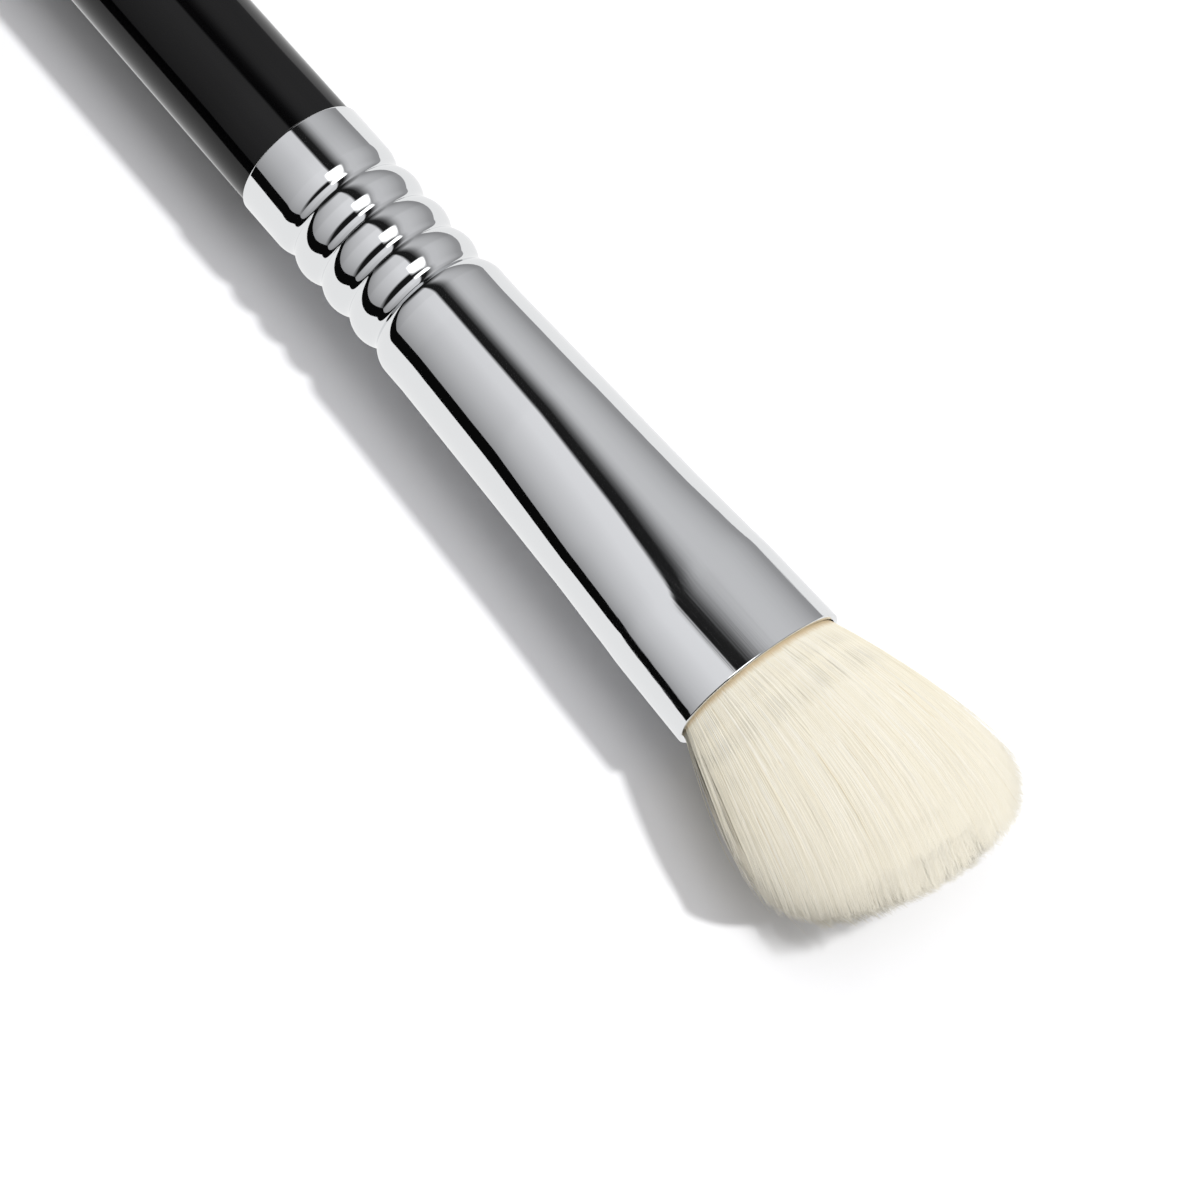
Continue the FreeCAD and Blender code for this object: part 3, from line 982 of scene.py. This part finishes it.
    def make_heart(self) -> bpy.types.Object:
        """Makes the closed heart that the filaments lie on, with its fan of directions."""
        round_steps = 144
        side_steps = 22
        cap_steps = 12
        rings: list[list[tuple[Vector, Vector]]] = []
        turns = [self.even_turn(index / round_steps) for index in range(round_steps)]
        short = Vector((self.heart_short, 0.0, 0.0))
        for step in range(side_steps + cap_steps):
            share = self.heart_share
            along = min(step / (side_steps - 1), 1.0)
            if step >= side_steps:
                share *= 1 - (step - side_steps + 1) / (cap_steps + 1)
            ring = []
            for turn in turns:
                across, up = share * math.cos(turn), share * math.sin(turn)
                root, tip = self.ends(across, up)
                place = self.path(root, tip - short, across, up, side_steps)[min(step, side_steps - 1)]
                ring.append((self.axis.point(*place), Vector((math.cos(turn), math.sin(turn), along))))
            rings.append(ring)
        bm = bmesh.new()
        fan = bm.verts.layers.float_vector.new("fan")
        rows = []
        for ring in rings:
            row = []
            for place, direction in ring:
                vert = bm.verts.new(place)
                vert[fan] = direction
                row.append(vert)
            rows.append(row)
        for row, after in zip(rows, rows[1:]):
            for index in range(round_steps):
                follow = (index + 1) % round_steps
                bm.faces.new((row[index], row[follow], after[follow], after[index]))
        bm.faces.new(rows[0])
        bm.faces.new(rows[-1])
        heart = finish_mesh(bm, "bristles_heart", self.heart_sharp)
        self.lay_light(heart.data)
        heart.data.materials.append(self.heart.make())
        return heart

    def build(self) -> list[bpy.types.Object]:
        """Makes the heart and the locks and lets them stand for the CAD tuft."""
        material = self.finish.make()
        turns = [self.even_turn(index / self.turn_steps) for index in range(self.turn_steps)]
        pieces = [self.make_heart()]
        for number in range(self.locks):
            strands = range(self.count * number // self.locks, self.count * (number + 1) // self.locks)
            pieces.append(self.lock(f"bristles_lock{number + 1}", strands, turns, material))
            # fine filaments let most light through
            pieces[-1].visible_shadow = number + 1 in self.shading_locks
        start = self.axis.point(self.mouth)
        end = self.axis.point(self.mouth + self.bend_length)
        for piece in pieces:
            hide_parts("bristle_tuft")
            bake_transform(piece)
        return pieces


@dataclass
class Inside:
    """The pieces hidden in the ferrule, which keep their CAD shapes."""

    glue: InnerFinish = InnerFinish(
        "cured_glue", (0.80, 0.72, 0.52), (0.68, 0.57, 0.36), (0.45, 0.65), 900.0
    )
    resin: InnerFinish = InnerFinish(
        "cast_resin", (0.82, 0.70, 0.44), (0.66, 0.50, 0.24), (0.12, 0.25), 500.0
    )
    thread: InnerFinish = InnerFinish(
        "wound_thread", (0.88, 0.86, 0.81), (0.72, 0.69, 0.62), (0.7, 0.9), 2500.0
    )

    def dress(self) -> None:
        """Gives each CAD node inside the ferrule its finish."""
        for node, finish in (
            ("handle_adhesive", self.glue),
            ("root_plug", self.resin),
            ("binding_thread", self.thread),
        ):
            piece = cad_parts[node]
            piece.data.materials.clear()
            piece.data.materials.append(finish.make())


@dataclass
class Studio:
    """Floor, soft panels, key light, and the dark ground that the plating mirrors as its black line."""

    floor_size: float = 4.0
    floor_colour: Colour = (0.93, 0.93, 0.94)
    floor_glow: float = 0.06
    floor_mirrored: float = 0.95
    key_strength: float = 2.0
    key_angle: float = 5.0
    key_from: tuple[float, float, float] = (0.30, 0.40, 0.92)
    ambient: tuple[tuple[float, float], ...] = (
        (-180.0, 0.15),
        (-24.0, 0.15),
        (-20.0, 0.50),
        (-8.0, 0.50),
        (-4.0, 1.30),
        (20.0, 1.30),
        (26.0, 0.28),
        (180.0, 0.28),
    )
    panels: tuple[tuple[float, float], ...] = (
        (-92.0, 0.01),
        (-90.5, 0.35),
        (-77.0, 0.46),
        (-59.0, 0.60),
        (-41.0, 0.71),
        (-24.0, 0.83),
        (-7.0, 0.86),
        (-3.5, 0.012),
        (7.0, 0.015),
        (12.5, 0.13),
        (18.0, 0.33),
        (24.0, 0.54),
        (30.0, 0.64),
        (41.0, 0.63),
        (55.0, 0.56),
        (70.0, 0.45),
        (80.0, 0.36),
        (95.0, 0.32),
    )
    panel_rear: tuple[float, float] = (-0.96, -0.88)
    panel_fronts: tuple[float, float] = (0.75, 0.42)
    panel_edge: float = 0.05
    panel_rise: tuple[float, float, float, float] = (-0.45, -0.22, 0.88, 1.12)
    unlit: float = 0.01
    lamp_level: float = 4.0
    lamp_angle: float = 0.03
    lamp_width: tuple[float, float] = (0.15, 0.30)
    lamp_place: float = 0.27
    lamp_length: tuple[float, float] = (0.14, 0.28)
    ground_near: float = -0.0205
    ground_far: float = -1.9
    ground_half: float = 1.9
    ground_height: float = 0.0002
    ground_colour: Colour = (0.003, 0.003, 0.003)
    cool: float = 1.02

    def make_floor(self) -> None:
        """Lays the pale floor, which mirrors see without the shadow."""
        bm = bmesh.new()
        bmesh.ops.create_grid(bm, x_segments=8, y_segments=8, size=self.floor_size / 2)
        mesh = bpy.data.meshes.new("studio_floor")
        bm.to_mesh(mesh)
        bm.free()
        floor = bpy.data.objects.new("studio_floor", mesh)
        bpy.context.scene.collection.objects.link(floor)
        material, build, surface = new_finish("studio_floor")
        surface.inputs["Base Color"].default_value = (*self.floor_colour, 1.0)
        surface.inputs["Roughness"].default_value = 0.9
        surface.inputs["Specular IOR Level"].default_value = 0.0
        path = build.add("ShaderNodeLightPath")
        surface.inputs["Emission Color"].default_value = (1.0, 1.0, 1.0, 1.0)
        glow = build.math("MULTIPLY", path.outputs["Is Camera Ray"], self.floor_glow)
        build.join(glow, surface.inputs["Emission Strength"])
        white = build.add("ShaderNodeEmission")
        white.inputs["Strength"].default_value = self.floor_mirrored
        both = build.add("ShaderNodeMixShader")
        build.join(self.mirrored(build, path), both.inputs["Fac"])
        build.join(surface.outputs[0], both.inputs[1])
        build.join(white.outputs[0], both.inputs[2])
        build.join(both.outputs[0], material.node_tree.nodes["Material Output"].inputs["Surface"])
        floor.data.materials.append(material)

    def mirrored(self, build: Shading, path: bpy.types.Node) -> bpy.types.NodeSocket:
        """A mask of what the viewer sees in a mirror.

        Args:
            build: the tree.
            path: its Light Path node.

        Returns:
            The socket, 1 for a mirrored ray that has not met a matt surface.
        """
        fresh = build.math("LESS_THAN", path.outputs["Diffuse Depth"], 0.5)
        return build.math("MULTIPLY", path.outputs["Is Glossy Ray"], fresh)

    def bands(
        self, build: Shading, place: object, levels: tuple[tuple[float, float], ...]
    ) -> bpy.types.NodeSocket:
        """Light in bands along the brush.

        Args:
            build: the world's tree.
            place: the angle round the brush, from 0 at -180 degrees to 1 at 180.
            levels: angles in degrees from straight up, each with its level.

        Returns:
            The colour socket.
        """
        stops = [((degrees + 180) / 360, (level, level, level * self.cool)) for degrees, level in levels]
        return build.ramp(place, stops)

    def window(
        self, build: Shading, value: object, middle: float, reach: tuple[float, float]
    ) -> bpy.types.NodeSocket:
        """A mask that is 1 near a value and fades out on both sides.

        Args:
            build: the world's tree.
            value: the socket to look at.
            middle: the value in the middle.
            reach: how far the mask is full, and where it has faded out.

        Returns:
            The mask's socket.
        """
        away = build.math("ABSOLUTE", build.math("SUBTRACT", value, middle))
        return build.spread(away, *reach, 1.0, 0.0)

    def make_surround(self) -> None:
        """Sets the light all round: soft bands for matt surfaces, panels and a lamp for mirrors."""
        world = bpy.data.worlds.new("studio_surround")
        bpy.context.scene.world = world
        world.use_nodes = True
        build = Shading(world.node_tree)
        background = world.node_tree.nodes["Background"]
        where = build.add("ShaderNodeSeparateXYZ")
        build.join(build.add("ShaderNodeTexCoord").outputs["Generated"], where.inputs[0])
        along = where.outputs["X"]
        angle = build.math("ARCTAN2", where.outputs["Y"], where.outputs["Z"])
        place = build.spread(angle, -math.pi, math.pi, 0.0, 1.0)

        left = build.math("LESS_THAN", angle, 0.0)
        right_front, left_front = self.panel_fronts
        front_end = build.mix(left, (right_front,) * 3, (left_front,) * 3)
        behind = build.spread(along, *self.panel_rear, 0.0, 1.0)
        ahead = build.math("SUBTRACT", along, front_end)
        before = build.spread(ahead, -self.panel_edge, self.panel_edge, 1.0, 0.0)
        within = build.math("MULTIPLY", behind, before)
        shown = build.math("MULTIPLY", within, build.spread(along, *self.panel_rise))
        panel = build.mix(shown, (self.unlit,) * 3, self.bands(build, place, self.panels))
        across = self.window(build, angle, self.lamp_angle, self.lamp_width)
        lengthwise = self.window(build, along, self.lamp_place, self.lamp_length)
        lamp = build.math("MULTIPLY", across, lengthwise)
        bright = build.mix(lamp, panel, (self.lamp_level,) * 3)

        path = build.add("ShaderNodeLightPath")
        lit = build.mix(self.mirrored(build, path), self.bands(build, place, self.ambient), bright)
        build.join(build.mix(path.outputs["Is Camera Ray"], lit, (1.0, 1.0, 1.0)), background.inputs["Color"])

    def make_key(self) -> None:
        """Hangs the key light that casts the shadow."""
        lamp = bpy.data.lights.new("key_light", "SUN")
        lamp.energy = self.key_strength
        lamp.angle = math.radians(self.key_angle)
        key = bpy.data.objects.new("key_light", lamp)
        bpy.context.scene.collection.objects.link(key)
        key.rotation_mode = "QUATERNION"
        key.rotation_quaternion = Vector(self.key_from).to_track_quat("Z", "Y")
        key.visible_glossy = False

    def make_ground(self) -> None:
        """Lays the dark ground beyond the floor's near side that only mirrors can see."""
        bm = bmesh.new()
        near, far, half = self.ground_near, self.ground_far, self.ground_half
        corners = [(-half, near), (half, near), (half, far), (-half, far)]
        bm.faces.new([bm.verts.new((x, y, self.ground_height)) for x, y in reversed(corners)])
        mesh = bpy.data.meshes.new("dark_ground")
        bm.to_mesh(mesh)
        bm.free()
        ground = bpy.data.objects.new("dark_ground", mesh)
        bpy.context.scene.collection.objects.link(ground)
        material, _, surface = new_finish("dark_ground")
        surface.inputs["Base Color"].default_value = (*self.ground_colour, 1.0)
        surface.inputs["Roughness"].default_value = 1.0
        surface.inputs["Specular IOR Level"].default_value = 0.0
        ground.data.materials.append(material)
        ground.visible_camera = False
        ground.visible_diffuse = False
        ground.visible_shadow = False

    def build(self) -> None:
        """Sets the whole studio."""
        self.make_floor()
        self.make_surround()
        self.make_key()
        self.make_ground()
        bpy.context.scene.view_settings.view_transform = "Standard"


@dataclass
class ViewPoint:
    """The camera: its direction from the brush in degrees, and its aim in millimetres from the rear rim."""

    axis: BrushAxis
    elevation: float = 61.48
    azimuth: float = 53.58
    roll: float = 15.9
    distance: float = 230.0
    lens: float = 129.1
    sensor: float = 36.0
    clip: tuple[float, float] = (0.01, 50.0)
    aim: tuple[float, float, float] = (31.33, -3.94, 0.0)

    def build(self) -> None:
        """Places the camera and makes it the scene's."""
        up_angle = math.radians(self.elevation)
        round_angle = math.radians(self.azimuth)
        back = Vector((
            math.cos(up_angle) * math.cos(round_angle),
            -math.cos(up_angle) * math.sin(round_angle),
            math.sin(up_angle),
        ))
        right = (-back).cross(Vector((0, 0, 1))).normalized()
        up = right.cross(-back).normalized()
        turn = math.radians(self.roll)
        rolled_right = right * math.cos(turn) + up * math.sin(turn)
        rolled_up = up * math.cos(turn) - right * math.sin(turn)
        lens = bpy.data.cameras.new("viewpoint")
        lens.sensor_width = self.sensor
        lens.lens = self.lens
        lens.clip_start, lens.clip_end = self.clip
        camera = bpy.data.objects.new("viewpoint", lens)
        bpy.context.scene.collection.objects.link(camera)
        turned = Matrix((rolled_right, rolled_up, back)).transposed().to_4x4()
        stand = self.axis.point(*self.aim) + back * self.distance * MM
        camera.matrix_world = Matrix.Translation(stand) @ turned
        bpy.context.scene.camera = camera


def main() -> None:
    """Builds the brush and its studio."""
    logging.basicConfig(level=logging.INFO, format="%(name)s: %(message)s")
    axis = BrushAxis.from_frame()
    handle = Handle(axis).build()
    ferrule = Ferrule(axis).build()
    bristles = Tuft(axis).build()
    Inside().dress()
    Studio().build()
    ViewPoint(axis).build()
    for piece in (handle, ferrule, *bristles):
        LOG.info("%s: %d faces", piece.name, len(piece.data.polygons))


if __name__ == "__main__":
    main()
